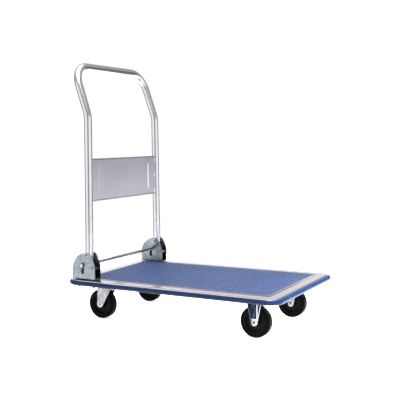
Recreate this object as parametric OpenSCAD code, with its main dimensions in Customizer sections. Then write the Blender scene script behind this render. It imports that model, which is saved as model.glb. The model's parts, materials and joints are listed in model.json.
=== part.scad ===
// Folding platform cart: pressed steel deck, folding U handle, two swivel and two fixed casters.
// The origin is on the floor under the deck's centre. +X points to the open front end, away from
// the handle. Left is +Y, as the person pushing the cart sees it.

/* [Deck] */
// Length over the edge bumper
deck_l = 740; // [730:1:760]
// Width over the edge bumper
deck_w = 480; // [474:1:500]
// Radius of the two front corners of the bumper, seen from above
corner_r = 42; // [38:1:46]
// Radius of the two rear corners, under the hinge brackets
rear_corner_r = 58; // [52:1:60]
// Width of the bare metal rim, from the bumper's outer face to the mat
rim_w = 54; // [52:1:56]
// Height of the mat's edge bead above the rim
bead_h = 1.6; // [1.2:0.1:2]
// Depth of the channels under the deck
channel_h = 19.7; // [18:0.1:22]

/* [Handle] */
// Overall height of the handle above the floor
handle_top = 822; // [780:1:860]
// Outside diameter of the handle tube
tube_d = 25.4; // [25:0.1:25.6]
// Wall of the handle tube
tube_wall = 1.2; // [1:0.1:1.6]
// Half the distance between the legs, at the hinge
leg_y = 203; // [201:1:205]
// Inward lean of each leg
toe_in = 0.69; // [0:0.01:0.8]
// Height where the legs begin to lean back
bend_z = 635; // [600:1:650]
// Bend radius of the lean
bend_r = 103; // [90:1:120]
// Lean of the upper part
bend_angle = 19; // [14:1:22]
// Radius of the two top corners
handle_corner_r = 66; // [55:1:75]
// Lower edge of the panel
panel_z = 381; // [350:1:400]
// Height of the panel
panel_h = 136; // [120:1:150]

/* [Hinge brackets] */
// Height of the handle's hinge above the floor
pivot_z = 211; // [209:1:212]
// Thickness of the bracket's steel
bracket_t = 2.5; // [2:0.1:2.5]
// Diameter of the foot bar that locks the handle
rod_d = 9; // [8:0.1:9]
// Travel of the foot bar
rod_travel = 22; // [16:1:22]

/* [Casters] */
// Wheel diameter
wheel_d = 94; // [90:1:95]
// Wheel width
wheel_w = 27; // [25:1:27]
// Height of a caster, from the floor to the top of its plate
caster_h = 112; // [112:1:116]
// Half the distance between the wheels' middles
track_y = 142.5; // [135:0.5:145]
// Distance of the fixed axles from the deck's centre
front_x = 262; // [258:1:268]
// Distance of the swivel pins from the deck's centre
swivel_x = 260; // [256:1:264]
// Trail of a swivel wheel behind its pin
trail = 22; // [18:1:24]

/* [Hidden] */
$fn = 48;
LEFT = 1;
RIGHT = -1;
SIDES = [LEFT, RIGHT];
eps = 0.01;
seam = 0.5;
bend_thin = 0.02;

// Standard M8 hardware
m8_r = 4;
m8_hole_r = 4.25;
m8_flats = 13;
m8_head_h = 5.3;
m8_nut_h = 6.5;
m8_washer_t = 1.5;
dome_head_r = 6.5;
dome_head_h = 3;
stop_head_h = 1.6;
run_gap = 0.05;

// Deck heights and plan sizes
sheet_t = 1.5;
recess_d = 1.8;
mat_t = 2;
mat_gap = 0.3;
pan_under_z = caster_h + channel_h;
floor_z = pan_under_z + sheet_t;
land_z = floor_z + recess_d;
bead_w = 12;
bead_top_z = land_z + bead_h;
bumper_out = 6;
mat_hx = deck_l / 2 - rim_w;
mat_hy = deck_w / 2 - rim_w;
edge_r = 8;
skirt_z = land_z - 14.7;
bumper_z = land_z - 16.2;
bumper_top_z = land_z - 2;

// Channels and rails under the deck
channel_w = 104;
channel_t = 2;
channel_hy = 190;
rail_y = 95;
rail_w = 50;
rail_h = 15;

// Casters
wheel_r = wheel_d / 2;
rear_wheel_x = -swivel_x - trail;
plate_l = 90;
plate_w = 70;
plate_t = 3;
plate_corner_r = 8;
plate_z = caster_h - plate_t;
bolt_dx = 37;
bolt_dy = 26;
leg_t = 2.5;
leg_in_y = 15;
hub_hw = 14.5;
sleeve_r = 6.5;
axle_r = 5;
axle_bore_r = 3.6;
tip_r = 11;
race_r = 29;
ball_r = 2.5;
ball_orbit_r = 23;
ball_z = caster_h - 8;
ball_n = 20;
race_gap = 2;
crown_z = ball_z - race_gap / 2 - 5;
kingpin_r = 6;

// Hinge brackets
cheek_gap = 27;
bracket_hw = cheek_gap / 2 + bracket_t;
fold_r = 4;
bracket_z = bead_top_z;
bracket_x0 = -344;
bracket_x1 = -257;
dome_r = 58;
dome_x = bracket_x0 + dome_r;
dome_z = pivot_z + 10.5 - dome_r;
pivot_x = -287;
stop_x = -266;
stop_z = pivot_z - 40;
rod_x = -304;
rod_z = pivot_z - 30.5;
slot_r = rod_d / 2 + 0.4;
hook_x = -278;
hook_z = pivot_z - 11;
base_bolt_x = [-331, -274];
base_bolt_l = 30;
caster_bolt_l = 13;
inner_y = leg_y - bracket_hw;
outer_y = leg_y + bracket_hw;
spring_y = inner_y - 5.3;

// Handle centreline
tube_r = tube_d / 2;
bore_r = tube_r - tube_wall;
leg_end = 25.5;
bar_z = handle_top - tube_r;
lean_z = bend_z + bend_r * tan(bend_angle / 2);
bar_x = pivot_x - (bar_z - lean_z) * tan(bend_angle);
function leg_y_at(z) = leg_y - (z - pivot_z) * tan(toe_in);
HANDLE_PATH = [[pivot_x, -leg_y_at(pivot_z - leg_end), pivot_z - leg_end],
               [pivot_x, -leg_y_at(lean_z), lean_z], [bar_x, -leg_y_at(bar_z), bar_z],
               [bar_x, leg_y_at(bar_z), bar_z], [pivot_x, leg_y_at(lean_z), lean_z],
               [pivot_x, leg_y_at(pivot_z - leg_end), pivot_z - leg_end]];
HANDLE_RADII = [bend_r, handle_corner_r, handle_corner_r, bend_r];

// ---------- shared shapes ----------

function unit(v) = v / norm(v);
function side_of(v) = unit(cross(v, abs(v.z) > 0.9 ? [1, 0, 0] : [0, 0, 1]));

// Carries the local axes to x, y and their cross product, and the local origin to o
module frame_at(o, x, y) {
    z = cross(x, y);
    multmatrix([[x.x, y.x, z.x, o.x], [x.y, y.y, z.y, o.y], [x.z, y.z, z.z, o.z]]) children();
}

module ring_2d(ro, ri) {
    difference() {
        circle(ro);
        if (ri > 0) circle(ri);
    }
}

// A round bar from a to b, hollow where ri is over 0
module bar(a, b, ro, ri = 0) {
    d = unit(b - a);
    x = side_of(d);
    frame_at(a, x, cross(d, x)) linear_extrude(norm(b - a)) ring_2d(ro, ri);
}

// A bend of radius r at corner p, between the directions a (coming) and b (leaving). Its wall is
// a little thinner than a straight's, so it ends inside the straights' walls.
module elbow(p, a, b, r, ro, ri = 0) {
    turn = acos(a * b);
    n = unit(b - (a * b) * a);
    centre = p - a * r * tan(turn / 2) + n * r;
    frame_at(centre, -n, a) rotate_extrude(angle = turn) translate([r, 0])
        ring_2d(ro - bend_thin, ri > 0 ? ri + bend_thin : 0);
}

// A bent bar through the corners of path, with one radius for each inner corner
module bent_bar(path, radii, ro, ri = 0) {
    n = len(path);
    dirs = [for (i = [0 : n - 2]) unit(path[i + 1] - path[i])];
    cuts = [for (i = [0 : n - 1])
        (i == 0 || i == n - 1) ? 0 : radii[i - 1] * tan(acos(dirs[i - 1] * dirs[i]) / 2) - seam];
    for (i = [0 : n - 2])
        bar(path[i] + dirs[i] * cuts[i], path[i + 1] - dirs[i] * cuts[i + 1], ro, ri);
    for (i = [1 : n - 2])
        elbow(path[i], dirs[i - 1], dirs[i], radii[i - 1], ro, ri);
}

module rounded_rect(hx, hy, r) {
    square([2 * hx - 2 * r, 2 * hy], center = true);
    square([2 * hx, 2 * hy - 2 * r], center = true);
    for (sx = [-1, 1], sy = [-1, 1]) translate([sx * (hx - r), sy * (hy - r)]) circle(r);
}

function corner_of(end) = end > 0 ? corner_r : rear_corner_r;

// The deck's outline from above, inset from the bumper's outer face
module deck_outline(inset) {
    hx = deck_l / 2 - inset;
    hy = deck_w / 2 - inset;
    difference() {
        square([2 * hx, 2 * hy], center = true);
        for (end = [-1, 1], s = SIDES) {
            r = corner_of(end) - inset;
            translate([end * (hx - r), s * (hy - r)]) difference() {
                translate([end > 0 ? 0 : -r - 1, s > 0 ? 0 : -r - 1]) square(r + 1);
                circle(r);
            }
        }
    }
}

// Sweeps an edge section round the deck. The section's x is 0 at the bumper's outer face and
// negative inboard of it, and its y is the height.
module rim_sweep() {
    for (end = [-1, 1]) {
        r = corner_of(end);
        mirror([end < 0 ? 1 : 0, 0, 0]) {
            translate([deck_l / 2, deck_w / 2 - r, 0]) rotate([90, 0, 0])
                linear_extrude(deck_w - 2 * r) children();
            for (s = SIDES)
                translate([deck_l / 2 - r, s * (deck_w / 2 - r), 0])
                    rotate([0, 0, s > 0 ? 0 : -90])
                        rotate_extrude(angle = 90) translate([r, 0]) children();
        }
    }
    for (s = SIDES) mirror([0, s < 0 ? 1 : 0, 0])
        translate([rear_corner_r - deck_l / 2, deck_w / 2, 0]) rotate([90, 0, 90])
            linear_extrude(deck_l - corner_r - rear_corner_r) children();
}

module along_y(x, y, z) {
    translate([x, y, z]) rotate([-90, 0, 0]) children();
}

// A hexagon bolt: the head's underside is at the origin and the shank runs down
module hex_bolt(length) {
    cylinder(h = m8_head_h - 0.6, d = m8_flats / cos(30), $fn = 6);
    translate([0, 0, m8_head_h - 0.6 - eps]) cylinder(h = 0.6, r = m8_flats / 2 - 0.3);
    translate([0, 0, -length]) cylinder(h = length + eps, r = m8_r);
}

// The low domed head of a rivet or bolt, above the origin
module dome(r, h) {
    ball = (pow(r, 2) + pow(h, 2)) / (2 * h);
    intersection() {
        translate([0, 0, h - ball]) sphere(ball);
        translate([-r - 1, -r - 1, 0]) cube([2 * r + 2, 2 * r + 2, h + 1]);
    }
}

// A hexagon nut above the origin, with its nylon collar on top
module lock_nut() {
    difference() {
        union() {
            cylinder(h = m8_nut_h - 1.2, d = m8_flats / cos(30), $fn = 6);
            cylinder(h = m8_nut_h, r = m8_flats / 2 - 0.8);
        }
        translate([0, 0, -1]) cylinder(h = m8_nut_h + 2, r = m8_r);
    }
}

module washer(ro, t) {
    difference() {
        cylinder(h = t, r = ro);
        translate([0, 0, -1]) cylinder(h = t + 2, r = m8_r + 0.2);
    }
}

// ---------- deck ----------

// The pan's rolled edge and its skirt
module pan_edge_section() {
    roll_x = -bumper_out - edge_r;
    roll_z = land_z - edge_r;
    below = 20;
    difference() {
        union() {
            translate([roll_x, roll_z]) circle(edge_r);
            translate([roll_x - 3, land_z - sheet_t]) square([3, sheet_t]);
            translate([-bumper_out - sheet_t, skirt_z]) square([sheet_t, roll_z - skirt_z]);
        }
        translate([roll_x, roll_z]) circle(edge_r - sheet_t);
        translate([roll_x - below, roll_z - below])
            square([below + edge_r - sheet_t, below]);
        translate([roll_x - below, roll_z - below])
            square([below, below + edge_r - sheet_t]);
        translate([roll_x, skirt_z - below]) square([2 * edge_r, below]);
    }
}

// One straight bead on the rim, cut at 45 degrees at both ends
module bead(half_run, offset_y) {
    seg_r = (pow(bead_w / 2, 2) + pow(bead_h, 2)) / (2 * bead_h);
    intersection() {
        translate([-half_run - bead_w, offset_y, 0]) rotate([90, 0, 90])
            linear_extrude(2 * (half_run + bead_w)) intersection() {
                translate([bead_w / 2, bead_top_z - seg_r]) circle(seg_r, $fn = 96);
                translate([0, land_z - sheet_t / 2]) square([bead_w, 2 * bead_h]);
            }
        translate([0, 0, land_z - sheet_t]) linear_extrude(10)
            polygon([[-half_run, offset_y], [half_run, offset_y],
                     [half_run + bead_w, offset_y + bead_w],
                     [-half_run - bead_w, offset_y + bead_w]]);
    }
}

module deck_pan() {
    color("gainsboro") difference() {
        union() {
            rim_sweep() pan_edge_section();
            difference() {
                translate([0, 0, land_z - sheet_t]) linear_extrude(sheet_t)
                    deck_outline(bumper_out + edge_r);
                translate([-mat_hx, -mat_hy, floor_z]) cube([2 * mat_hx, 2 * mat_hy, 10]);
            }
            difference() {
                translate([-mat_hx - sheet_t, -mat_hy - sheet_t, pan_under_z])
                    cube([2 * (mat_hx + sheet_t), 2 * (mat_hy + sheet_t), land_z - pan_under_z]);
                translate([-mat_hx, -mat_hy, floor_z]) cube([2 * mat_hx, 2 * mat_hy, 10]);
            }
            for (a = [0, 180]) rotate([0, 0, a]) bead(mat_hx, mat_hy);
            for (a = [90, 270]) rotate([0, 0, a]) bead(mat_hy, mat_hx);
        }
        for (s = SIDES, x = base_bolt_x)
            translate([x, s * leg_y, floor_z - 10]) cylinder(h = 30, r = m8_hole_r);
    }
}

module deck_mat() {
    color("slateblue") translate([0, 0, floor_z]) linear_extrude(mat_t)
        square([2 * (mat_hx - mat_gap), 2 * (mat_hy - mat_gap)], center = true);
}

// A soft channel pushed up over the pan's skirt. Its round nose laps the rolled edge.
module bumper_section() {
    grip = 0.1;
    inner_x = -bumper_out - sheet_t - 1.9;
    lip_x = -bumper_out - 1.8;
    top_r = 7.5;
    low_r = 4.6;
    top_c = bumper_top_z - top_r;
    low_c = bumper_z + low_r;
    roll_z = land_z - edge_r;
    difference() {
        union() {
            translate([inner_x, bumper_z]) square([-low_r - inner_x, roll_z - bumper_z]);
            translate([-low_r, low_c]) square([low_r, top_c - low_c]);
            translate([-low_r, low_c]) circle(low_r);
            intersection() {
                translate([-top_r, top_c]) circle(top_r);
                translate([lip_x, top_c - eps]) square([-lip_x, top_r + 1]);
            }
        }
        translate([-bumper_out - sheet_t - grip, skirt_z - grip])
            square([sheet_t + 2 * grip, roll_z - skirt_z + grip]);
        translate([-bumper_out - edge_r, roll_z]) circle(edge_r + grip);
    }
}

module edge_bumper() {
    color("royalblue") rim_sweep() bumper_section();
}

// A pressed channel, open upwards, centred on the origin with its length along Y
module open_channel(width, half_len, height, t) {
    difference() {
        translate([-width / 2, -half_len, 0]) cube([width, 2 * half_len, height]);
        translate([-width / 2 + t, -half_len - 1, t])
            cube([width - 2 * t, 2 * half_len + 2, height]);
    }
}

module cross_channel(x) {
    color("silver") difference() {
        translate([x, 0, caster_h]) open_channel(channel_w, channel_hy, channel_h, channel_t);
        for (s = SIDES) translate([x, s * track_y, caster_h - 5]) {
            plate_holes(30);
        }
    }
}

module rail(side) {
    run = front_x + swivel_x - channel_w;
    color("silver") translate([(front_x - swivel_x) / 2, side * rail_y, pan_under_z - rail_h])
        rotate([0, 0, 90]) open_channel(rail_w, run / 2, rail_h, channel_t);
}

// ---------- hinge brackets ----------

// Side outline of a cheek: a round back, a sloping nose and an upright front edge
module cheek_outline() {
    intersection() {
        union() {
            translate([dome_x, dome_z]) circle(dome_r, $fn = 96);
            translate([bracket_x0, bracket_z - 1])
                square([bracket_x1 - bracket_x0, dome_z - bracket_z + 1]);
            translate([dome_x, bracket_z]) square([bracket_x1 - dome_x, 50]);
        }
        polygon([[bracket_x0 - 1, bracket_z - 1], [bracket_x1, bracket_z - 1],
                 [bracket_x1, pivot_z - 30], [bracket_x1 - 3, pivot_z - 21],
                 [bracket_x1 - 9, pivot_z - 6], [bracket_x1 - 16, pivot_z + 6],
                 [bracket_x1 - 24, pivot_z + 11.5], [bracket_x0 - 1, pivot_z + 11.5]]);
    }
}

// End view of the folded sheet: a U with round lower corners, centred on y = 0
module bracket_u() {
    difference() {
        union() {
            translate([-bracket_hw, bracket_z + fold_r]) square([2 * bracket_hw, 100]);
            translate([-bracket_hw + fold_r, bracket_z])
                square([2 * (bracket_hw - fold_r), 20]);
            for (s = SIDES) translate([s * (bracket_hw - fold_r), bracket_z + fold_r])
                circle(fold_r);
        }
        translate([-cheek_gap / 2, bracket_z + fold_r]) square([cheek_gap, 101]);
        translate([-cheek_gap / 2 + fold_r - bracket_t, bracket_z + bracket_t])
            square([cheek_gap - 2 * (fold_r - bracket_t), 20]);
        for (s = SIDES) translate([s * (bracket_hw - fold_r), bracket_z + fold_r])
            circle(fold_r - bracket_t);
    }
}

module bracket(side) {
    color("lightsteelblue") translate([0, side * leg_y, 0]) difference() {
        union() {
            intersection() {
                translate([bracket_x0 - 1, 0, 0]) rotate([90, 0, 90])
                    linear_extrude(bracket_x1 - bracket_x0 + 2) bracket_u();
                rotate([90, 0, 0]) linear_extrude(100, center = true) cheek_outline();
            }
            // Round pressed boss on the inboard cheek
            along_y(stop_x - 4, side > 0 ? -bracket_hw - 0.8 : bracket_hw, stop_z + 9)
                cylinder(h = 0.8, r = 9);
        }
        for (p = [[pivot_x, pivot_z], [stop_x, stop_z]])
            along_y(p.x, -50, p.y) cylinder(h = 100, r = m8_r + run_gap);
        for (z = [rod_z, rod_z - rod_travel]) along_y(rod_x, -50, z) cylinder(h = 100, r = slot_r);
        translate([rod_x - slot_r, -50, rod_z - rod_travel])
            cube([2 * slot_r, 100, rod_travel]);
        along_y(hook_x, side > 0 ? -50 : 5, hook_z) cylinder(h = 45, r = 2.5);
        for (x = base_bolt_x) translate([x, 0, bracket_z - 5]) cylinder(h = 10, r = m8_hole_r);
    }
}

// Carries the children, drawn with +Z outboard, to a bolt place on both brackets
module on_both_brackets(x, z, y) {
    for (s = SIDES) translate([x, s * y, z]) rotate([-90 * s, 0, 0]) children();
}

module pivot_bolts() {
    length = 2 * bracket_hw + m8_washer_t + m8_nut_h + 1.5;
    color("silver") on_both_brackets(pivot_x, pivot_z, outer_y) {
        dome(dome_head_r, dome_head_h);
        translate([0, 0, -length]) cylinder(h = length + eps, r = m8_r);
    }
}

module pivot_washers() {
    color("gainsboro") on_both_brackets(pivot_x, pivot_z, inner_y - m8_washer_t) washer(7, m8_washer_t);
}

module pivot_nuts() {
    color("silver") on_both_brackets(pivot_x, pivot_z, inner_y - m8_washer_t)
        mirror([0, 0, 1]) lock_nut();
}

// Riveted pins across the cheeks, in front of the legs
module stop_pins() {
    color("silver") {
        on_both_brackets(stop_x, stop_z, outer_y) dome(dome_head_r, stop_head_h);
        on_both_brackets(stop_x, stop_z, inner_y - eps) cylinder(h = 2 * (bracket_hw + eps), r = m8_r);
    }
}

module bracket_bolts() {
    color("silver") for (s = SIDES, x = base_bolt_x)
        translate([x, s * leg_y, bracket_z + bracket_t]) hex_bolt(base_bolt_l);
}

module bracket_nuts() {
    color("silver") for (s = SIDES, x = base_bolt_x)
        translate([x, s * leg_y, land_z - sheet_t]) mirror([0, 0, 1]) lock_nut();
}

// Headed pins on the inboard cheeks, which hold the upper hooks of the springs
module spring_pins() {
    color("silver") on_both_brackets(hook_x, hook_z, spring_y - 3) {
        cylinder(h = 1.8, r = 5);
        cylinder(h = inner_y - spring_y + 3 + bracket_t, r = 2.5);
    }
}

// ---------- springs of the foot bar ----------

wire_r = 0.8;
coil_r = 4;
coil_turns = 8;
SPRING_LOW = [rod_x, rod_z];
SPRING_HIGH = [hook_x, hook_z];
loop_low_r = rod_d / 2 + wire_r + 0.3;
loop_high_r = 2.5 + wire_r + 0.1;

// Local frame of the spring: x along it from the bar to the pin, y across it, z outboard
function spring_route() =
    let (len_all = norm(SPRING_HIGH - SPRING_LOW),
         start = loop_low_r + 3,
         stop = len_all - loop_high_r - 3,
         steps = coil_turns * 12)
    concat(
        [for (a = [-150 : 25 : 150]) [-loop_low_r * cos(a), -loop_low_r * sin(a), 0]],
        [for (i = [0 : steps]) let (t = i / steps, a = 360 * coil_turns * t)
            [start + (stop - start) * t, coil_r * cos(a), coil_r * sin(a)]],
        [for (a = [-150 : 25 : 150])
            [len_all + loop_high_r * cos(a), -loop_high_r * sin(a), 0]]);

function tangent(p, i) = unit(p[min(i + 1, len(p) - 1)] - p[max(i - 1, 0)]);

// A wire of six sides along the points
module wire(p, r) {
    n = len(p);
    sides = 6;
    rings = [for (i = [0 : n - 1]) let (t = tangent(p, i), u = side_of(t), v = cross(t, u))
        for (k = [0 : sides - 1]) p[i] + r * (cos(60 * k) * u + sin(60 * k) * v)];
    walls = [for (i = [0 : n - 2], k = [0 : sides - 1])
        let (a = i * sides + k, b = i * sides + (k + 1) % sides)
        [a, b, b + sides, a + sides]];
    ends = [[for (k = [sides - 1 : -1 : 0]) k], [for (k = [0 : sides - 1]) (n - 1) * sides + k]];
    polyhedron(rings, concat(walls, ends), convexity = 6);
}

module spring(side) {
    d = unit([SPRING_HIGH.x - SPRING_LOW.x, 0, SPRING_HIGH.y - SPRING_LOW.y]);
    across = cross([0, 1, 0], d);
    color("whitesmoke") frame_at([rod_x, side * spring_y, rod_z], d, across)
        wire(spring_route(), wire_r);
}

// ---------- foot bar ----------

rod_end_y = outer_y + 7;
rod_pin_y = outer_y + 4;

module lock_rod() {
    color("whitesmoke") difference() {
        along_y(rod_x, -rod_end_y, rod_z) cylinder(h = 2 * rod_end_y, r = rod_d / 2);
        for (s = SIDES) translate([rod_x, s * rod_pin_y, rod_z - 10]) cylinder(h = 20, r = 1.3);
    }
}

module rod_washers() {
    color("gainsboro") on_both_brackets(rod_x, rod_z, outer_y + 0.4) difference() {
        cylinder(h = 1.4, r = 7.5);
        translate([0, 0, -1]) cylinder(h = 4, r = rod_d / 2);
    }
}

// Split pins through the bar's ends: an eye on top and two legs below
module rod_pins() {
    color("silver") for (s = SIDES) translate([rod_x, s * rod_pin_y, rod_z]) {
        translate([0, 0, -9]) cylinder(h = 15, r = 1.2);
        translate([0, 0, 7.4]) rotate([90, 0, 0]) rotate_extrude() translate([1.8, 0]) circle(0.7);
    }
}

// ---------- handle ----------

module handle_tube() {
    color("gainsboro") difference() {
        bent_bar(HANDLE_PATH, HANDLE_RADII, tube_r, bore_r);
        for (s = SIDES) along_y(pivot_x, s * leg_y - 20, pivot_z)
            cylinder(h = 40, r = m8_r + run_gap);
    }
}

// Steel tubes inside the legs, which the hinge bolts turn in
module pivot_bushes() {
    half = 9.5;
    color("silver") for (s = SIDES) along_y(pivot_x, s * leg_y - half, pivot_z) difference() {
        cylinder(h = 2 * half, r = 6);
        translate([0, 0, -1]) cylinder(h = 2 * half + 2, r = m8_r + run_gap);
    }
}

module handle_plugs() {
    flange_t = 1.4;
    color("dimgray") for (s = SIDES)
        translate([pivot_x, s * leg_y_at(pivot_z - leg_end), pivot_z - leg_end])
            rotate([s * toe_in, 0, 0]) {
                translate([0, 0, -flange_t]) cylinder(h = flange_t, r = tube_r - 1);
                translate([0, 0, -eps]) cylinder(h = 14, r = bore_r - 0.05);
            }
}

panel_t = 1.2;
hem_r = 3.5;
panel_bead_y = 146;
panel_bead_h = 86;
panel_bead_r = 4;
panel_bead_out = 1.8;

function panel_hy(z) = leg_y_at(z) - tube_r - 0.1;

// A flat sheet with rolled upper and lower edges and two upright pressed beads
// An upright bead pressed out of the panel's front face
module panel_bead(s) {
    back = panel_bead_r - panel_bead_out - panel_t / 2;
    translate([pivot_x - back, s * panel_bead_y, panel_z + (panel_h - panel_bead_h) / 2])
        intersection() {
            cylinder(h = panel_bead_h, r = panel_bead_r);
            translate([back, -panel_bead_r, 0])
                cube([panel_bead_r, 2 * panel_bead_r, panel_bead_h]);
        }
}

module handle_panel() {
    z0 = panel_z + hem_r;
    z1 = panel_z + panel_h - hem_r;
    color("silver") {
        translate([pivot_x - panel_t / 2, 0, 0]) rotate([90, 0, 90]) linear_extrude(panel_t)
            polygon([[-panel_hy(z0), z0], [panel_hy(z0), z0], [panel_hy(z1), z1],
                     [-panel_hy(z1), z1]]);
        for (z = [z0, z1]) along_y(pivot_x - hem_r + panel_t / 2, -panel_hy(z) + 1, z)
            cylinder(h = 2 * panel_hy(z) - 2, r = hem_r);
        for (s = SIDES) panel_bead(s);
    }
}

// ---------- casters ----------

module plate_holes(h) {
    for (dx = [-bolt_dx, bolt_dx], dy = [-bolt_dy, bolt_dy])
        translate([dx, dy, 0]) cylinder(h = h, r = m8_hole_r);
}

module caster_plate() {
    linear_extrude(plate_t) rounded_rect(plate_l / 2, plate_w / 2, plate_corner_r);
}

module at_each_plate() {
    for (x = [front_x, -swivel_x], s = SIDES, dx = [-bolt_dx, bolt_dx], dy = [-bolt_dy, bolt_dy])
        translate([x + dx, s * track_y + dy, 0]) children();
}

module caster_bolts() {
    color("silver") at_each_plate() translate([0, 0, caster_h + channel_t]) hex_bolt(caster_bolt_l);
}

module caster_nuts() {
    color("silver") at_each_plate() translate([0, 0, plate_z]) mirror([0, 0, 1]) lock_nut();
}

// Leg outline in the XZ plane: a round tip on the axle at x = wheel_x, and straight tapering
// edges up to the points (x0, z) and (x1, z), which start just inside the tip's circle
module leg_outline(wheel_x, x0, x1, z) {
    c = [wheel_x, wheel_r];
    tuck = 0.995;
    function touch(p, turn) =
        let (d = p - c, a = atan2(d.y, d.x) + turn * acos(tip_r / norm(d)))
        c + tuck * tip_r * [cos(a), sin(a)];
    translate(c) circle(tip_r);
    polygon([c, touch([x0, z], 1), [x0, z], [x1, z], touch([x1, z], -1)]);
}

// The shallow pressed panel in a leg's outer face, with an upright rib at rib_x if that is set
module leg_pocket(wheel_x, x0, x1, z, rib_x) {
    low = wheel_r + tip_r;
    edge = 2.6;
    rib_w = 3.4;
    t = (low - wheel_r) / (z - wheel_r);
    difference() {
        polygon([[wheel_x - tip_r + (x0 + tip_r - wheel_x) * t + edge, low], [x0 + edge, z],
                 [x1 - edge, z], [wheel_x + tip_r + (x1 - tip_r - wheel_x) * t - edge, low]]);
        if (rib_x != 0) translate([wheel_x + rib_x - rib_w / 2, low - 1]) square([rib_w, z - low + 2]);
    }
}

module fork_legs(wheel_x, x0, x1, z, press_d, rib_x = 0) {
    for (s = SIDES) difference() {
        translate([0, s * (leg_in_y + leg_t / 2), 0]) rotate([90, 0, 0])
            linear_extrude(leg_t, center = true) leg_outline(wheel_x, x0, x1, z);
        translate([0, s * (leg_in_y + leg_t), 0]) rotate([90, 0, 0])
            linear_extrude(2 * press_d, center = true) leg_pocket(wheel_x, x0, x1, z - 4, rib_x);
        along_y(wheel_x, -50, wheel_r) cylinder(h = 100, r = axle_r);
    }
}

module fixed_fork(side) {
    half = 23.5;
    color("lightgray") translate([front_x, side * track_y, 0]) {
        difference() {
            translate([0, 0, plate_z]) caster_plate();
            plate_holes(200);
        }
        fork_legs(0, -half, half, plate_z + eps, 1.2, rib_x = 9.5);
    }
}

module swivel_plate(side) {
    color("lightgray") translate([-swivel_x, side * track_y, 0]) difference() {
        union() {
            translate([0, 0, plate_z]) caster_plate();
            translate([0, 0, ball_z + race_gap / 2])
                cylinder(h = plate_z - ball_z, r = race_r + 1.5);
        }
        plate_holes(200);
        cylinder(h = 200, r = kingpin_r);
        translate([0, 0, ball_z]) rotate_extrude() translate([ball_orbit_r, 0])
            circle(ball_r + run_gap);
    }
}

module swivel_balls(side) {
    color("white") translate([-swivel_x, side * track_y, ball_z]) for (i = [0 : ball_n - 1])
        rotate([0, 0, 360 * i / ball_n]) translate([ball_orbit_r, 0, 0]) sphere(ball_r, $fn = 24);
}

module kingpin(side) {
    color("silver") translate([-swivel_x, side * track_y, 0]) {
        translate([0, 0, crown_z - 3]) cylinder(h = 2.8, r = 10);
        translate([0, 0, crown_z - 1]) cylinder(h = caster_h - crown_z + 1, r = kingpin_r);
    }
}

// A round crown with the lower ball race, and two legs raked back to the axle
module swivel_fork(side) {
    back = -30;
    front = 20;
    top = ball_z - race_gap / 2;
    color("lightgray") translate([-swivel_x, side * track_y, 0]) difference() {
        union() {
            translate([0, 0, crown_z]) cylinder(h = top - crown_z, r = race_r);
            translate([back, -leg_in_y - leg_t, crown_z])
                cube([front - back, 2 * (leg_in_y + leg_t), leg_t]);
            fork_legs(-trail, back, front, crown_z + leg_t, 0.5);
        }
        translate([0, 0, crown_z - 5]) cylinder(h = 30, r = kingpin_r + run_gap);
        translate([0, 0, ball_z]) rotate_extrude() translate([ball_orbit_r, 0])
            circle(ball_r + run_gap);
    }
}

// A hollow rivet through both legs of a fork, with its two rolled ends
module axle(x, side) {
    lip_r = 7.4;
    lip_h = 1.4;
    half = leg_in_y + leg_t;
    color("silver") translate([x, side * track_y, wheel_r]) rotate([90, 0, 0]) difference() {
        union() {
            cylinder(h = 2 * half + 2 * eps, r = axle_r, center = true);
            for (a = [0, 180]) rotate([a, 0, 0]) translate([0, 0, half]) dome(lip_r, lip_h);
        }
        cylinder(h = 3 * half, r = axle_bore_r, center = true);
    }
}

// Steel tube clamped between the fork's legs, which the wheel turns on
module sleeve(x, side) {
    color("gray") along_y(x, side * track_y - leg_in_y, wheel_r) difference() {
        cylinder(h = 2 * leg_in_y, r = sleeve_r);
        translate([0, 0, -1]) cylinder(h = 2 * leg_in_y + 2, r = axle_r);
    }
}

rim_in_r = wheel_r - 16;
rim_out_r = wheel_r - 11;

module wheel_core(x, side) {
    hub_r = 14;
    web_hw = 5;
    rim_hw = wheel_w / 2 - 1.5;
    color("dimgray") along_y(x, side * track_y, wheel_r) rotate_extrude(convexity = 6)
        polygon([[sleeve_r + run_gap, -hub_hw], [hub_r - 1, -hub_hw], [hub_r, -web_hw - 2],
                 [hub_r + 2, -web_hw], [rim_in_r - 3, -web_hw], [rim_in_r - 1, -web_hw - 2],
                 [rim_in_r, -rim_hw], [rim_out_r, -rim_hw], [rim_out_r, rim_hw],
                 [rim_in_r, rim_hw], [rim_in_r - 1, web_hw + 2], [rim_in_r - 3, web_hw],
                 [hub_r + 2, web_hw], [hub_r, web_hw + 2], [hub_r - 1, hub_hw],
                 [sleeve_r + run_gap, hub_hw]]);
}

module tyre(x, side) {
    shoulder = 5.4;
    groove_r = 0.9;
    hw = wheel_w / 2;
    color("black") along_y(x, side * track_y, wheel_r) rotate_extrude() difference() {
        union() {
            translate([rim_out_r, -hw]) square([wheel_r - shoulder - rim_out_r, wheel_w]);
            translate([rim_out_r, -hw + shoulder])
                square([wheel_r - rim_out_r, wheel_w - 2 * shoulder]);
            for (s = SIDES) translate([wheel_r - shoulder, s * (hw - shoulder)]) circle(shoulder);
        }
        for (s = SIDES) translate([wheel_r - shoulder - groove_r, s * hw]) circle(groove_r);
    }
}

// ---------- nodes ----------

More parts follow.
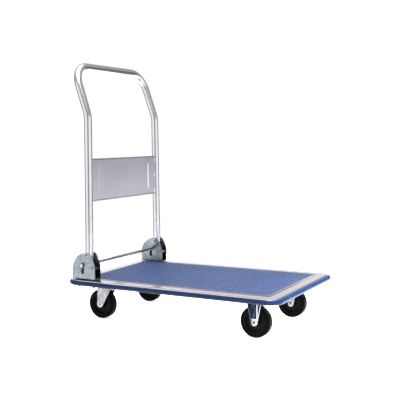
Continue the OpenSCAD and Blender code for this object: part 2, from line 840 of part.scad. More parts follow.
deck_pan();
deck_mat();
edge_bumper();
cross_channel(-swivel_x);  // rear_channel
cross_channel(front_x);  // front_channel
rail(LEFT);  // rail_left
rail(RIGHT);  // rail_right
bracket(LEFT);  // bracket_left
bracket(RIGHT);  // bracket_right
pivot_bolts();
pivot_nuts();
pivot_washers();
stop_pins();
bracket_bolts();
bracket_nuts();
spring_pins();
spring(LEFT);  // spring_left
spring(RIGHT);  // spring_right
caster_bolts();
caster_nuts();
handle_tube();
handle_panel();
handle_plugs();
pivot_bushes();
lock_rod();
rod_washers();
rod_pins();
swivel_plate(LEFT);  // swivel_plate_left
swivel_plate(RIGHT);  // swivel_plate_right
kingpin(LEFT);  // kingpin_left
kingpin(RIGHT);  // kingpin_right
swivel_balls(LEFT);  // swivel_balls_left
swivel_balls(RIGHT);  // swivel_balls_right
swivel_fork(LEFT);  // swivel_fork_left
swivel_fork(RIGHT);  // swivel_fork_right
axle(rear_wheel_x, LEFT);  // rear_axle_left
axle(rear_wheel_x, RIGHT);  // rear_axle_right
sleeve(rear_wheel_x, LEFT);  // rear_sleeve_left
sleeve(rear_wheel_x, RIGHT);  // rear_sleeve_right
wheel_core(rear_wheel_x, LEFT);  // rear_core_left
wheel_core(rear_wheel_x, RIGHT);  // rear_core_right
tyre(rear_wheel_x, LEFT);  // rear_tyre_left
tyre(rear_wheel_x, RIGHT);  // rear_tyre_right
fixed_fork(LEFT);  // fixed_fork_left
fixed_fork(RIGHT);  // fixed_fork_right
for (s = SIDES) axle(front_x, s);  // front_axles
for (s = SIDES) sleeve(front_x, s);  // front_sleeves
wheel_core(front_x, LEFT);  // front_core_left
wheel_core(front_x, RIGHT);  // front_core_right
tyre(front_x, LEFT);  // front_tyre_left
tyre(front_x, RIGHT);  // front_tyre_right
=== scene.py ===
"""Looks of the folding platform cart: camera, light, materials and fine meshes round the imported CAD."""
import json
import math

import bpy
from mathutils import Matrix, Vector


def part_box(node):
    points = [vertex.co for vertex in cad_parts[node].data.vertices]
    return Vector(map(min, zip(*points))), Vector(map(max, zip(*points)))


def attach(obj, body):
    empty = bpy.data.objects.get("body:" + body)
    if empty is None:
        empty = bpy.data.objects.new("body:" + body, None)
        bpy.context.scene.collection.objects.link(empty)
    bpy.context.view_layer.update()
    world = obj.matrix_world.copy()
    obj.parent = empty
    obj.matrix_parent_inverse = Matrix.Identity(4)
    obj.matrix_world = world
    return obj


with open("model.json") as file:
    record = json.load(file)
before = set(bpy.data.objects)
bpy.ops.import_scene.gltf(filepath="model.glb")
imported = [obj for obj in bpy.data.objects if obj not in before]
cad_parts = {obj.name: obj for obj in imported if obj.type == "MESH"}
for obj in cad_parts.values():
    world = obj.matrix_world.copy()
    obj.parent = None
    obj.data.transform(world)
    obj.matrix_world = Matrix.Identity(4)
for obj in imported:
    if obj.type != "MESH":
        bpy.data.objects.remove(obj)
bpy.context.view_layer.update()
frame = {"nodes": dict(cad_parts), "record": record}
NODES = frame["nodes"]

# The display curve: its straight toe, the toe's slope, and the offset and exponent above it
SRGB_TOE, SRGB_SLOPE, SRGB_OFFSET, SRGB_GAMMA = 0.04045, 12.92, 0.055, 2.4
WHITE = (1, 1, 1, 1)


def srgb(r, g, b):
    """Linear colour of an 8-bit display colour."""
    def linear(v):
        v /= 255
        return v / SRGB_SLOPE if v <= SRGB_TOE else ((v + SRGB_OFFSET) / (1 + SRGB_OFFSET)) ** SRGB_GAMMA
    return (linear(r), linear(g), linear(b), 1.0)


# ---------- sockets that Blender's nodes number ----------

MIX_SHARE, MIX_A, MIX_B, MIX_RESULT = 0, 6, 7, 2     # of a Mix node that mixes colours


def set_range(node, from_low, from_high, to_low, to_high):
    """The four limits of a Map Range node."""
    for socket, number in zip(node.inputs[1:5], (from_low, from_high, to_low, to_high)):
        socket.default_value = number


# ---------- camera, light and floor ----------

# Metres and degrees; the focal length is in widths of the frame
CAMERA_AT = (1.1487, -2.1260, 0.5800)
CAMERA_YAW = 28.35
CAMERA_PITCH = 4.69
CAMERA_ROLL = -0.42
FOCAL_IN_FRAMES = 757 / 400
SENSOR = 36.0


def make_camera():
    yaw, pitch, roll = (math.radians(a) for a in (CAMERA_YAW, CAMERA_PITCH, CAMERA_ROLL))
    ahead = Vector((-math.sin(yaw) * math.cos(pitch), math.cos(yaw) * math.cos(pitch), -math.sin(pitch)))
    level = Vector((math.cos(yaw), math.sin(yaw), 0))
    above = level.cross(ahead)
    right = level * math.cos(roll) + above * math.sin(roll)
    up = above * math.cos(roll) - level * math.sin(roll)
    data = bpy.data.cameras.new("camera")
    data.sensor_width = SENSOR
    data.lens = FOCAL_IN_FRAMES * SENSOR
    camera = bpy.data.objects.new("camera", data)
    camera.matrix_world = Matrix.Translation(CAMERA_AT) @ Matrix((right, up, -ahead)).transposed().to_4x4()
    bpy.context.scene.collection.objects.link(camera)
    bpy.context.scene.camera = camera


# What the metal mirrors: a white tent with soft dark gaps, which give the tubes their stripes. WALLS
# holds angles from the tent's mouth in degrees and their levels. RISE holds sines of the height over
# the horizon: at 0 there the wall shows, at 0.5 the grey over it, and at 1 the bright roof. The camera
# itself sees a plain white backdrop.
TENT_MOUTH = -61.6
WALLS = ((0, 0.26), (13, 0.28), (24, 1.05), (86, 1.05), (104, 0.17), (134, 0.17), (148, 1.05), (180, 1.05))
RISE = ((0.20, 0.0), (0.27, 0.5), (0.72, 0.5), (0.82, 1.0))
GAP_LEVEL, ROOF_LEVEL = 0.42, 1.4
BACKDROP_LEVEL = 1.05


def ramp_node(nodes, stops):
    """A colour ramp of grey levels."""
    node = nodes.new("ShaderNodeValToRGB")
    while len(node.color_ramp.elements) < len(stops):
        node.color_ramp.elements.new(0.5)
    for element, (at, level) in zip(node.color_ramp.elements, stops):
        element.position = at
        element.color = (level, level, level, 1)
    return node


def make_world():
    world = bpy.data.worlds.new("studio")
    world.use_nodes = True
    nodes, links = world.node_tree.nodes, world.node_tree.links
    nodes.clear()
    out = nodes.new("ShaderNodeOutputWorld")
    back = nodes.new("ShaderNodeBackground")
    coords = nodes.new("ShaderNodeTexCoord")
    turn = nodes.new("ShaderNodeMapping")
    turn.inputs["Rotation"].default_value = (0, 0, math.radians(-TENT_MOUTH))
    around = nodes.new("ShaderNodeTexGradient")
    around.gradient_type = "RADIAL"
    both_sides = {(0.5 + side * angle / 360, level) for angle, level in WALLS for side in (-1, 1)}
    walls = ramp_node(nodes, sorted(both_sides))
    split = nodes.new("ShaderNodeSeparateXYZ")
    height = ramp_node(nodes, RISE)
    links.new(coords.outputs["Generated"], turn.inputs["Vector"])
    links.new(turn.outputs[0], around.inputs[0])
    links.new(around.outputs["Fac"], walls.inputs[0])
    links.new(coords.outputs["Generated"], split.inputs[0])
    links.new(split.outputs["Z"], height.inputs[0])
    shown = walls.outputs[0]
    for share, level in ((0.5, GAP_LEVEL), (1.0, ROOF_LEVEL)):
        above = nodes.new("ShaderNodeMapRange")
        set_range(above, share - 0.5, share, 0.0, 1.0)
        blend = nodes.new("ShaderNodeMix")
        blend.data_type = "RGBA"
        blend.inputs[MIX_B].default_value = (level, level, level, 1)
        links.new(height.outputs[0], above.inputs[0])
        links.new(above.outputs[0], blend.inputs[MIX_SHARE])
        links.new(shown, blend.inputs[MIX_A])
        shown = blend.outputs[MIX_RESULT]
    links.new(shown, back.inputs["Color"])
    plain = nodes.new("ShaderNodeBackground")
    plain.inputs["Color"].default_value = WHITE
    plain.inputs["Strength"].default_value = BACKDROP_LEVEL
    seen = nodes.new("ShaderNodeLightPath")
    choice = nodes.new("ShaderNodeMixShader")
    links.new(seen.outputs["Is Camera Ray"], choice.inputs[0])
    links.new(back.outputs[0], choice.inputs[1])
    links.new(plain.outputs[0], choice.inputs[2])
    links.new(choice.outputs[0], out.inputs[0])
    bpy.context.scene.world = world


# Name, place, aim, size in metres, watts, spread in degrees, and whether the metal mirrors it
LIGHTS = (
    ("key", (0.6, -1.2, 3.0), (0, 0, 0.2), (2.4, 2.4), 62, 180, True),
    ("end_light", (1.70, 0.20, 0.56), (0.37, 0, 0.10), (0.9, 0.3), 9, 40, False),
    ("back_light", (-2.6, 0.9, 1.9), (-0.2, 0, 0.35), (1.6, 1.2), 55, 180, False),
)


def area_light(name, at, towards, size, power, spread, mirrored):
    data = bpy.data.lights.new(name, "AREA")
    data.spread = math.radians(spread)
    data.shape = "RECTANGLE"
    data.size, data.size_y = size
    data.energy = power
    light = bpy.data.objects.new(name, data)
    light.location = at
    light.visible_glossy = mirrored
    light.rotation_mode = "QUATERNION"
    light.rotation_quaternion = (Vector(towards) - Vector(at)).to_track_quat("-Z", "Y")
    bpy.context.scene.collection.objects.link(light)


FLOOR_RADIUS = 1.35
FLOOR_SIDES = 64
FLOOR_COLOUR = (0.93, 0.93, 0.93, 1)
FLOOR_GLOW = 0.62


def make_floor():
    mesh = bpy.data.meshes.new("floor")
    corners = [(FLOOR_RADIUS * math.cos(a), FLOOR_RADIUS * math.sin(a), 0)
               for a in (2 * math.pi * i / FLOOR_SIDES for i in range(FLOOR_SIDES))]
    mesh.from_pydata(corners, [], [tuple(range(FLOOR_SIDES))])
    floor = bpy.data.objects.new("floor", mesh)
    bpy.context.scene.collection.objects.link(floor)
    mat = bpy.data.materials.new("floor_white")
    mat.use_nodes = True
    shader = mat.node_tree.nodes["Principled BSDF"]
    shader.inputs["Base Color"].default_value = FLOOR_COLOUR
    shader.inputs["Roughness"].default_value = 0.9
    shader.inputs["Specular IOR Level"].default_value = 0.0
    shader.inputs["Emission Color"].default_value = WHITE
    shader.inputs["Emission Strength"].default_value = FLOOR_GLOW
    mesh.materials.append(mat)


make_camera()
make_world()
for light_row in LIGHTS:
    area_light(*light_row)
make_floor()
bpy.context.scene.view_settings.view_transform = "Standard"


# ---------- materials ----------

AO_SAMPLES = 8


class Look:
    """A procedural material, built node by node."""

    def __init__(self, name, **sockets):
        self.mat = bpy.data.materials.new(name)
        self.mat.use_nodes = True
        self.nodes = self.mat.node_tree.nodes
        self.links = self.mat.node_tree.links
        self.shader = self.nodes["Principled BSDF"]
        for key, value in sockets.items():
            self.shader.inputs[key.replace("_", " ").title().replace("Ior", "IOR")].default_value = value
        self.coords = self.nodes.new("ShaderNodeTexCoord").outputs["Object"]
        self.base = None

    def stretched(self, scale):
        node = self.nodes.new("ShaderNodeMapping")
        node.inputs["Scale"].default_value = scale
        self.links.new(self.coords, node.inputs["Vector"])
        return node.outputs[0]

    def axis(self, name):
        """The place along X, Y or Z, in metres in the cart's own frame."""
        node = self.nodes.new("ShaderNodeSeparateXYZ")
        self.links.new(self.coords, node.inputs[0])
        return node.outputs[name]

    def noise(self, scale, detail=4.0, rough=0.55, stretch=(1, 1, 1)):
        node = self.nodes.new("ShaderNodeTexNoise")
        node.inputs["Scale"].default_value = scale
        node.inputs["Detail"].default_value = detail
        node.inputs["Roughness"].default_value = rough
        self.links.new(self.stretched(stretch), node.inputs["Vector"])
        return node.outputs["Fac"]

    def cells(self, scale):
        """Zinc flakes: one random level to a cell."""
        node = self.nodes.new("ShaderNodeTexVoronoi")
        node.feature = "F1"
        node.inputs["Scale"].default_value = scale
        self.links.new(self.stretched((1, 1, 1)), node.inputs["Vector"])
        return node.outputs["Color"]

    def ribs(self, across, pitch):
        """Fine parallel ribs, one to a pitch, counted along the axis across."""
        node = self.nodes.new("ShaderNodeTexWave")
        node.bands_direction = across
        node.inputs["Scale"].default_value = math.pi / 10 / pitch
        self.links.new(self.coords, node.inputs["Vector"])
        return node.outputs["Fac"]

    def crevice(self, reach, own=False):
        """1 on open faces, falling to 0 deep between parts, or only between faces of the same part."""
        node = self.nodes.new("ShaderNodeAmbientOcclusion")
        node.samples = AO_SAMPLES
        node.only_local = own
        node.inputs["Distance"].default_value = reach
        return node.outputs["AO"]

    def distance(self, value, mark):
        """How far value is from mark."""
        offset = self.nodes.new("ShaderNodeMath")
        offset.operation = "SUBTRACT"
        offset.inputs[1].default_value = mark
        self.links.new(value, offset.inputs[0])
        size = self.nodes.new("ShaderNodeMath")
        size.operation = "ABSOLUTE"
        self.links.new(offset.outputs[0], size.inputs[0])
        return size.outputs[0]

    def mixed(self, share, a, b):
        node = self.nodes.new("ShaderNodeMix")
        node.data_type = "RGBA"
        self.links.new(share, node.inputs[MIX_SHARE])
        self.links.new(a, node.inputs[MIX_A])
        self.links.new(b, node.inputs[MIX_B])
        return node.outputs[MIX_RESULT]

    def times(self, a, b):
        node = self.nodes.new("ShaderNodeMix")
        node.data_type = "RGBA"
        node.blend_type = "MULTIPLY"
        node.inputs[MIX_SHARE].default_value = 1.0
        self.links.new(a, node.inputs[MIX_A])
        self.links.new(b, node.inputs[MIX_B])
        return node.outputs[MIX_RESULT]

    def ramp(self, value, *stops):
        node = self.nodes.new("ShaderNodeValToRGB")
        elements = node.color_ramp.elements
        while len(elements) < len(stops):
            elements.new(0.5)
        for element, (at, colour) in zip(elements, stops):
            element.position = at
            element.color = colour
        self.links.new(value, node.inputs[0])
        return node.outputs[0]

    def span(self, value, low, high, start=0.3, stop=0.7):
        """low up to start, high from stop on."""
        node = self.nodes.new("ShaderNodeMapRange")
        set_range(node, start, stop, low, high)
        self.links.new(value, node.inputs[0])
        return node.outputs[0]

    def tint(self, colour):
        """Multiplies the base colour kept so far."""
        self.base = self.times(self.base, colour)

    def colour(self, output):
        self.links.new(output, self.shader.inputs["Base Color"])

    def roughness(self, output):
        self.links.new(output, self.shader.inputs["Roughness"])

    def bump(self, height, depth, strength=1.0):
        node = self.nodes.new("ShaderNodeBump")
        node.inputs["Strength"].default_value = strength
        node.inputs["Distance"].default_value = depth
        self.links.new(height, node.inputs["Height"])
        previous = self.shader.inputs["Normal"].links
        if previous:
            self.links.new(previous[0].from_socket, node.inputs["Normal"])
        self.links.new(node.outputs[0], self.shader.inputs["Normal"])


def scaled(colour, k):
    return (colour[0] * k, colour[1] * k, colour[2] * k, 1.0)


def metal(name, colour, rough, grain=(1, 1, 1), grain_scale=400, spread=0.12, depth=0.000006):
    """Bare or plated steel with a fine grain, soft stains and uneven gloss."""
    look = Look(name, metallic=1.0)
    look.base = look.ramp(look.noise(22, 5),
                          (0.3, scaled(colour, 1 - spread)), (0.7, scaled(colour, 1 + spread / 3)))
    look.colour(look.base)
    look.roughness(look.span(look.noise(60, 6, 0.65), rough[0], rough[1]))
    look.bump(look.noise(grain_scale, 3, 0.6, grain), depth)
    return look


def paint_crevice_shade(look, reach, dark, own=False, full=0.12, none=0.85):
    """Painted shade: darkens a look where faces stand close together, where shade falls between parts."""
    open_part = look.span(look.crevice(reach, own), 0.0, 1.0, full, none)
    look.tint(look.ramp(open_part, (0.0, dark), (1.0, WHITE)))
    look.colour(look.base)


def make_tube_look():
    look = metal("satin_tube", srgb(232, 232, 237), (0.15, 0.21), (1, 1, 0.04), 300, 0.04, 0.0000004)
    return look.mat


RIM_LIT_TO, RIM_SHADED_FROM = -0.22, 0.16     # along X


def make_rim_look():
    """The deck's bare steel rim, with painted light that makes it brightest towards the handle, and
    painted shade that darkens it towards the open end and where it meets other parts.
    """
    look = metal("rim_steel", srgb(234, 228, 236), (0.10, 0.16), (0.3, 0.3, 1), 160, 0.05, 0.000002)
    # Painted light and shade along X: full brightness towards the handle, darker towards the open end
    along = look.span(look.axis("X"), 0.0, 1.0, RIM_LIT_TO, RIM_SHADED_FROM)
    look.tint(look.ramp(along, (0.0, WHITE), (1.0, (0.76, 0.75, 0.78, 1))))
    paint_crevice_shade(look, 0.0015, (0.80, 0.81, 0.83, 1))
    return look.mat


def make_zinc_look():
    """The hinge brackets: flaked dull zinc, with painted shade that makes it almost black inside the fold
    and darker where it meets other parts.
    """
    look = metal("dull_zinc", srgb(166, 176, 180), (0.28, 0.48), (1, 1, 1), 190, 0.34, 0.00004)
    look.tint(look.ramp(look.cells(240), (0.0, (0.50, 0.53, 0.53, 1)), (1.0, WHITE)))
    paint_crevice_shade(look, 0.060, (0.010, 0.024, 0.021, 1), own=True, full=0.35, none=0.97)
    paint_crevice_shade(look, 0.002, (0.62, 0.64, 0.64, 1))
    return look.mat


def make_worn_zinc_look():
    """Pins, bolt heads and washers on the hinge, duller than the new hardware under the deck, with painted
    shade where they stand close to other parts.
    """
    look = metal("worn_zinc", srgb(150, 156, 158), (0.34, 0.52), (1, 1, 1), 500, 0.35, 0.00002)
    paint_crevice_shade(look, 0.005, (0.06, 0.07, 0.07, 1), none=0.95)
    return look.mat


def make_oxide_and_shade_look():
    """Dark fasteners under the deck's edge, and the foot bar's washers, whose dark colour is painted shade
    round the rod's end in its slot.
    """
    look = metal("dark_oxide_and_shade", srgb(74, 80, 96), (0.30, 0.45), (1, 1, 1), 500, 0.3, 0.00001)
    return look.mat


def make_rivet_look():
    """Hollow axle rivets: bright rolled ends round a bore darkened by painted shade, and painted shade
    where they meet other parts.
    """
    look = metal("rivet_zinc", srgb(205, 208, 212), (0.22, 0.36), (1, 1, 1), 500, 0.2, 0.000008)
    paint_crevice_shade(look, 0.020, (0.004, 0.004, 0.005, 1), own=True, full=0.50, none=0.95)
    paint_crevice_shade(look, 0.003, (0.10, 0.10, 0.11, 1))
    return look.mat


def make_fork_zinc_look():
    """The swivel forks: flaked and specked zinc, scuffed in patches, with painted shade between the legs
    and where they meet other parts.
    """
    look = metal("fork_zinc", srgb(196, 195, 197), (0.26, 0.46), (1, 1, 1), 230, 0.26, 0.00003)
    look.tint(look.ramp(look.cells(260), (0.0, (0.42, 0.43, 0.45, 1)), (1.0, WHITE)))
    look.tint(look.ramp(look.noise(420, 3, 0.6), (0.36, (0.18, 0.19, 0.21, 1)), (0.46, WHITE)))
    paint_crevice_shade(look, 0.050, (0.01, 0.015, 0.015, 1), own=True)
    paint_crevice_shade(look, 0.006, (0.25, 0.26, 0.27, 1))
    return look.mat


# The fixed forks, in metres: the caster's middle plane and its axle, the pressed panels' planes to
# either side of that middle, and the heights between which the tip's specks fade out
LEG_MIDDLE = 0.1425
AXLE_X = 0.262
PRESSED_AT = 0.0163
# How close to the pressed planes the panels' painted shade is full, and where it ends
PRESSED_SHADE_FULL, PRESSED_SHADE_NONE = 0.0003, 0.0006
SPECKS_FULL, SPECKS_NONE = 0.050, 0.064


def make_pressed_zinc_look():
    """The fixed forks: bright ribs round pressed panels that carry a dark blue painted shade and painted
    dark reflection of their deep recesses, a rear rib darkened by painted shade, a specked tip, and
    painted shade between the legs."""
    look = metal("pressed_zinc", srgb(190, 195, 203), (0.16, 0.32), (1, 1, 1), 260, 0.15, 0.00001)
    off = look.axis("Y")
    for step in (0.0, LEG_MIDDLE, PRESSED_AT):
        off = look.distance(off, step)
    # Painted shade and dark reflection on the pressed panels, which sit in deep shaded recesses
    dark = look.ramp(look.noise(120, 4, 0.65, (1, 1, 0.22)),
                     (0.42, srgb(2, 4, 10)), (0.66, srgb(60, 68, 88)))
    # Painted shade on the rear rib, behind the axle
    rear = look.span(look.axis("X"), 0.10, 1.0, AXLE_X - 0.0085, AXLE_X - 0.0035)
    look.tint(look.ramp(rear, (0.0, srgb(70, 76, 92)), (1.0, WHITE)))
    specks = look.ramp(look.noise(380, 4, 0.65), (0.40, (0.06, 0.06, 0.07, 1)), (0.52, WHITE))
    above_tip = look.span(look.axis("Z"), 0.0, 1.0, SPECKS_FULL, SPECKS_NONE)
    look.base = look.mixed(above_tip, look.times(look.base, specks), look.base)
    look.base = look.mixed(look.span(off, 1.0, 0.0, PRESSED_SHADE_FULL, PRESSED_SHADE_NONE), look.base, dark)
    paint_crevice_shade(look, 0.050, (0.02, 0.02, 0.03, 1), own=True)
    return look.mat


def make_bright_look():
    look = metal("bright_zinc", srgb(214, 216, 220), (0.16, 0.32), (1, 1, 1), 600, 0.15, 0.000005)
    # Painted shade where parts stand close together
    paint_crevice_shade(look, 0.006, (0.2, 0.2, 0.2, 1))
    return look.mat


def make_rod_look():
    look = metal("rod_zinc", srgb(206, 208, 208), (0.20, 0.28), (1, 0.05, 1), 300, 0.15, 0.0000005)
    return look.mat


def make_plain_look():
    look = metal("plain_steel", srgb(150, 152, 156), (0.36, 0.56), (1, 0.05, 1), 300, 0.25, 0.00001)
    return look.mat


FOLD_SHADE_REACH = 0.0062                   # how far the painted shade reaches in from the panel's folds
CREST_FROM, CREST_TO = 0.0013, 0.0006  # the beads' crests, behind the panel's front, which carry a painted highlight


def make_panel_look():
    """Satin silver enamel, with painted shade along the upper and lower folds and a painted highlight on
    the beads' crests, brightest at one end.
    """
    look = Look("panel_enamel", metallic=0.1, specular_ior_level=0.4)
    silver = look.ramp(look.noise(9, 4), (0.3, srgb(134, 134, 140)), (0.7, srgb(144, 144, 150)))
    low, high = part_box("handle_panel")
    off = look.distance(look.axis("Z"), (low[2] + high[2]) / 2)
    edge = (high[2] - low[2]) / 2
    fold_shade_tone = look.ramp(look.noise(120, 3), (0.3, srgb(76, 78, 86)), (0.7, srgb(112, 114, 122)))
    shaded_in_folds = look.mixed(look.span(off, 0.0, 1.0, edge - FOLD_SHADE_REACH, edge - FOLD_SHADE_REACH / 2), silver, fold_shade_tone)
    crest = look.span(look.axis("X"), 0.0, 1.0, high[0] - CREST_FROM, high[0] - CREST_TO)
    # Painted highlight on the beads' crests, growing towards +Y so that one bead looks lit
    bead_highlight = look.ramp(look.span(look.axis("Y"), 0.0, 1.0, -0.15, 0.15),
                       (0.0, srgb(150, 150, 157)), (1.0, srgb(235, 235, 240)))
    look.colour(look.mixed(crest, shaded_in_folds, bead_highlight))
    look.roughness(look.span(look.noise(70, 5), 0.38, 0.50))
    look.bump(look.noise(900, 2, 0.5), 0.000015)
    return look.mat


BAR_H = 0.0007                        # height of the mat's raised bars
RIB_PITCH = 0.0025
MAT_SHADE_FROM, MAT_SHADE_TO = -0.35, 0.10  # painted shade along X, darkest at the handle


def make_mat_look():
    """Blue vinyl with fine ribs, flecked, scuffed on the bars, and darkened towards the handle by painted
    shade.
    """
    look = Look("mat_vinyl", specular_ior_level=0.22)
    tone = look.ramp(look.noise(7, 4), (0.25, srgb(51, 68, 105)), (0.5, srgb(58, 75, 112)),
                     (0.75, srgb(69, 80, 122)))
    fleck = look.ramp(look.noise(900, 3), (0.35, (0.86, 0.88, 0.92, 1)), (0.65, WHITE))
    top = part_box("deck_mat")[1][2]
    crest = look.span(look.axis("Z"), 0.0, 1.0, top + BAR_H * 0.3, top + BAR_H * 0.8)
    scuffed = look.ramp(crest, (0.0, (0.92, 0.92, 0.92, 1)), (1.0, (1.42, 1.38, 1.32, 1)))
    shade_to_handle = look.ramp(look.span(look.axis("X"), 0.0, 1.0, MAT_SHADE_FROM, MAT_SHADE_TO),
                        (0.0, (0.85, 0.87, 0.90, 1)), (1.0, WHITE))
    look.colour(look.times(look.times(look.times(tone, fleck), shade_to_handle), scuffed))
    look.roughness(look.span(look.noise(90, 5), 0.40, 0.58))
    look.bump(look.ribs("Y", RIB_PITCH), 0.0001, 0.4)
    look.bump(look.noise(1400, 3, 0.6), 0.00006)
    return look.mat


UNDERSIDE_SHADE_FROM, UNDERSIDE_SHADE_TO = 0.001, 0.010   # painted shade of the underside fades out between these heights above the bumper's foot


def make_bumper_look():
    """Glossy blue vinyl, with painted shade along its lower edge, where the underside turns down from the
    light.
    """
    look = Look("bumper_vinyl", specular_ior_level=0.28)
    blue = look.ramp(look.noise(30, 4), (0.3, srgb(8, 34, 72)), (0.7, srgb(14, 42, 86)))
    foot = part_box("edge_bumper")[0][2]
    above_shade = look.span(look.axis("Z"), 0.0, 1.0, foot + UNDERSIDE_SHADE_FROM, foot + UNDERSIDE_SHADE_TO)
    look.colour(look.times(blue, look.ramp(above_shade, (0.0, (0.16, 0.22, 0.30, 1)), (1.0, WHITE))))
    look.roughness(look.span(look.noise(80, 5), 0.10, 0.20))
    look.bump(look.noise(300, 4, 0.6), 0.00003)
    return look.mat


def make_plug_look():
    look = Look("plug_plastic")
    look.colour(look.ramp(look.noise(90, 3), (0.3, srgb(28, 28, 30)), (0.7, srgb(38, 38, 40))))
    look.roughness(look.span(look.noise(200, 3), 0.45, 0.6))
    look.bump(look.noise(700, 3), 0.00004)
    return look.mat


def make_core_look():
    look = Look("core_plastic", specular_ior_level=0.4, ior=1.18)
    look.colour(look.ramp(look.noise(40, 4), (0.3, srgb(3, 3, 4)), (0.7, srgb(8, 8, 10))))
    look.roughness(look.span(look.noise(120, 4), 0.32, 0.48))
    look.bump(look.noise(700, 3), 0.00005)
    return look.mat


def make_tyre_look():
    look = Look("tyre_rubber", specular_ior_level=0.3, ior=1.16)
    look.colour(look.ramp(look.noise(40, 4), (0.3, srgb(2, 2, 3)), (0.7, srgb(6, 6, 8))))
    look.roughness(look.span(look.noise(120, 4), 0.30, 0.48))
    look.bump(look.noise(600, 4), 0.00006)
    return look.mat


LOOKS = {
    "deck_paint": make_rim_look(),
    "mat": make_mat_look(),
    "bumper": make_bumper_look(),
    "plain_steel": make_plain_look(),
    "zinc_plate": make_zinc_look(),
    "bright_zinc": make_bright_look(),
    "handle_tube": make_tube_look(),
    "panel_paint": make_panel_look(),
    "plug": make_plug_look(),
    "wheel_core": make_core_look(),
    "tyre": make_tyre_look(),
}

# Nodes whose look isn't their slot's
NODE_LOOKS = {}
for make_look, names in (
    (make_rod_look, ("lock_rod",)),
    (make_worn_zinc_look, ("rod_pins", "stop_pins", "pivot_bolts", "pivot_washers", "spring_pins")),
    (make_rivet_look, ("front_axles", "rear_axle_left", "rear_axle_right")),
    (make_oxide_and_shade_look, ("bracket_bolts", "bracket_nuts", "rod_washers")),
    (make_pressed_zinc_look, ("fixed_fork_left", "fixed_fork_right")),
    (make_fork_zinc_look, ("swivel_fork_left", "swivel_fork_right")),
):
    NODE_LOOKS.update(dict.fromkeys(names, make_look()))

# Fillet of the edges on each slot's nodes, in metres, and how sharp an edge must be to get one
EDGE_FILLETS = {"zinc_plate": 0.0005, "bright_zinc": 0.0004, "deck_paint": 0.0003, "panel_paint": 0.0003,
                "mat": 0.0004, "wheel_core": 0.0005, "plug": 0.0003}
SHARP = math.radians(35)
WELD_REACH = 0.00002
NOT_FILLETED = {"spring_left", "spring_right"}
ONLY_WELDED = {"swivel_balls_left", "swivel_balls_right"}


def weld_corners(node):
    weld = node.modifiers.new("weld", "WELD")
    weld.merge_threshold = WELD_REACH


def fillet_edges(node, width):
    weld_corners(node)
    bevel = node.modifiers.new("fillet", "BEVEL")
    bevel.width = width
    bevel.segments = 2
    bevel.limit_method = "ANGLE"
    bevel.angle_limit = SHARP
    bevel.harden_normals = True


def dress_cad_nodes():
    for row in frame["record"]["subparts"]:
        node = NODES[row["node"]]
        node.data.materials.clear()
        node.data.materials.append(NODE_LOOKS.get(row["node"], LOOKS[row["material_slot"]]))
        width = EDGE_FILLETS.get(row["material_slot"])
        if row["node"] in ONLY_WELDED:
            weld_corners(node)
        elif width and row["node"] not in NOT_FILLETED:
            fillet_edges(node, width)


dress_cad_nodes()


# ---------- fine pieces ----------

def add_piece(name, vertices, faces, body, slot):
    """A smooth closed mesh that rides on a body and takes its finish from a slot."""
    mesh = bpy.data.meshes.new(name)
    mesh.from_pydata(vertices, [], faces)
    mesh.validate()
    mesh.materials.append(LOOKS[slot])
    mesh.shade_smooth()
    piece = bpy.data.objects.new(name, mesh)
    bpy.context.scene.collection.objects.link(piece)
    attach(piece, body)


# The mat's grip: rows of long bars, and between them rows of short pips
BAR_L, BAR_W = 0.0160, 0.0080
PIP_L, PIP_W = 0.0060, 0.0040
BAR_PITCH_X, BAR_PITCH_Y = 0.0210, 0.0150
BAR_MARGIN = 0.010                    # plain strip along the mat's edge
BAR_SINK = 0.0004                     # how deep a bar is rooted in the mat
BAR_ARC = 6                           # steps in each rounded end
# A bar's outlines from its root up: each one's share of the width and its height over the mat
BAR_OUTLINES = ((1, -BAR_SINK), (1, BAR_H * 0.45), (0.78, BAR_H * 0.9), (0.5, BAR_H))


def grip_bar(x, y, z, length, width):
    """One low rounded bar: stadium-shaped rings, closed at the root and at the crown."""
    vertices, faces = [], []
    for share, height in BAR_OUTLINES:
        r = width / 2 * share
        for end in (1, -1):
            for i in range(BAR_ARC + 1):
                a = math.pi * (i / BAR_ARC - 0.5) + (0 if end > 0 else math.pi)
                along = x + end * (length - width) / 2 + r * math.cos(a)
                vertices.append((along, y + r * math.sin(a), z + height))
    ring = 2 * (BAR_ARC + 1)
    walls = len(BAR_OUTLINES) - 1
    faces.append(tuple(reversed(range(ring))))
    for level in range(walls):
        for i in range(ring):
            a, b = level * ring + i, level * ring + (i + 1) % ring
            faces.append((a, b, b + ring, a + ring))
    faces.append(tuple(range(walls * ring, (walls + 1) * ring)))
    return vertices, faces


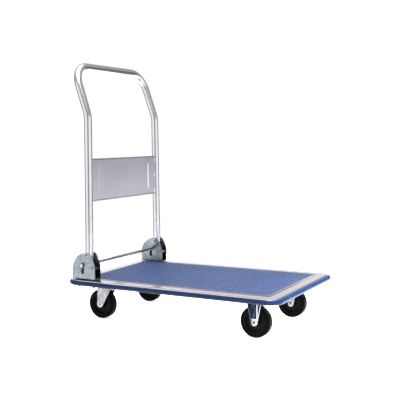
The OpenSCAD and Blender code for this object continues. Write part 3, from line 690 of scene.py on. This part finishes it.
def make_mat_bars():
    low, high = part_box("deck_mat")
    middle_x, middle_y = (low[0] + high[0]) / 2, (low[1] + high[1]) / 2
    reach_x, reach_y = (high[0] - low[0]) / 2 - BAR_MARGIN, (high[1] - low[1]) / 2 - BAR_MARGIN
    rows = int(reach_y / BAR_PITCH_Y)
    columns = int((reach_x - BAR_L / 2) / BAR_PITCH_X)
    vertices, faces = [], []
    for row in range(-rows, rows + 1):
        length, width = (PIP_L, PIP_W) if row % 2 else (BAR_L, BAR_W)
        shift = (row // 2 % 2 + (0.5 if row % 2 else 0)) * BAR_PITCH_X / 2
        for column in range(-columns - 1, columns + 1):
            x = column * BAR_PITCH_X + shift
            if abs(x) + BAR_L / 2 > reach_x:
                continue
            y = middle_y + row * BAR_PITCH_Y
            bar_vertices, bar_faces = grip_bar(middle_x + x, y, high[2], length, width)
            faces += [tuple(i + len(vertices) for i in face) for face in bar_faces]
            vertices += bar_vertices
    add_piece("mat_grip_bars", vertices, faces, "chassis", "mat")


WELD_RUN, WELD_R = 0.007, 0.0016      # half the length of a weld, and its radius
WELD_SIDES = 10
WELD_PLACES = (0.10, 0.50, 0.90)      # shares of the panel's height
WELD_IN_X, WELD_IN_Y = 0.0006, 0.0004  # how far a weld sits inside the panel's box
RIPPLES = ((0.13, 2.4), (0.05, 5.1))  # how much the radius swells, and how fast along the steps


def weld_bead(name, start, end, radius, body, slot):
    """A lumpy weld run from start to end: overlapping rings of uneven radius, closed at both ends."""
    start, end = Vector(start), Vector(end)
    along = end - start
    side = along.orthogonal().normalized()
    up = along.normalized().cross(side)
    steps = max(6, int(along.length / (radius * 0.5)))
    vertices, faces = [], []
    for i in range(steps + 1):
        t = i / steps
        cap = math.sqrt(max(0.0, 1 - (2 * t - 1) ** 10))
        swell = 1 + sum(size * math.sin(i * rate) for size, rate in RIPPLES)
        r = radius * (0.15 + 0.85 * cap) * swell
        for k in range(WELD_SIDES):
            a = 2 * math.pi * k / WELD_SIDES
            vertices.append(tuple(start + along * t + (side * math.cos(a) + up * math.sin(a)) * r))
    for i in range(steps):
        for k in range(WELD_SIDES):
            a, b = i * WELD_SIDES + k, i * WELD_SIDES + (k + 1) % WELD_SIDES
            faces.append((a, b, b + WELD_SIDES, a + WELD_SIDES))
    faces.append(tuple(reversed(range(WELD_SIDES))))
    faces.append(tuple(range(steps * WELD_SIDES, (steps + 1) * WELD_SIDES)))
    add_piece(name, vertices, faces, body, slot)


def make_panel_welds():
    """Short welds between the panel's ends and the legs, on the face that shows."""
    low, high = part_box("handle_panel")
    x = high[0] - WELD_IN_X
    for side, label in ((1, "left"), (-1, "right")):
        y = side * (high[1] - WELD_IN_Y)
        for i, share in enumerate(WELD_PLACES):
            z = low[2] + (high[2] - low[2]) * share
            weld_bead(f"panel_weld_{label}_{i + 1}", (x, y, z - WELD_RUN), (x, y, z + WELD_RUN), WELD_R,
                      "handle", "panel_paint")


make_mat_bars()
make_panel_welds()
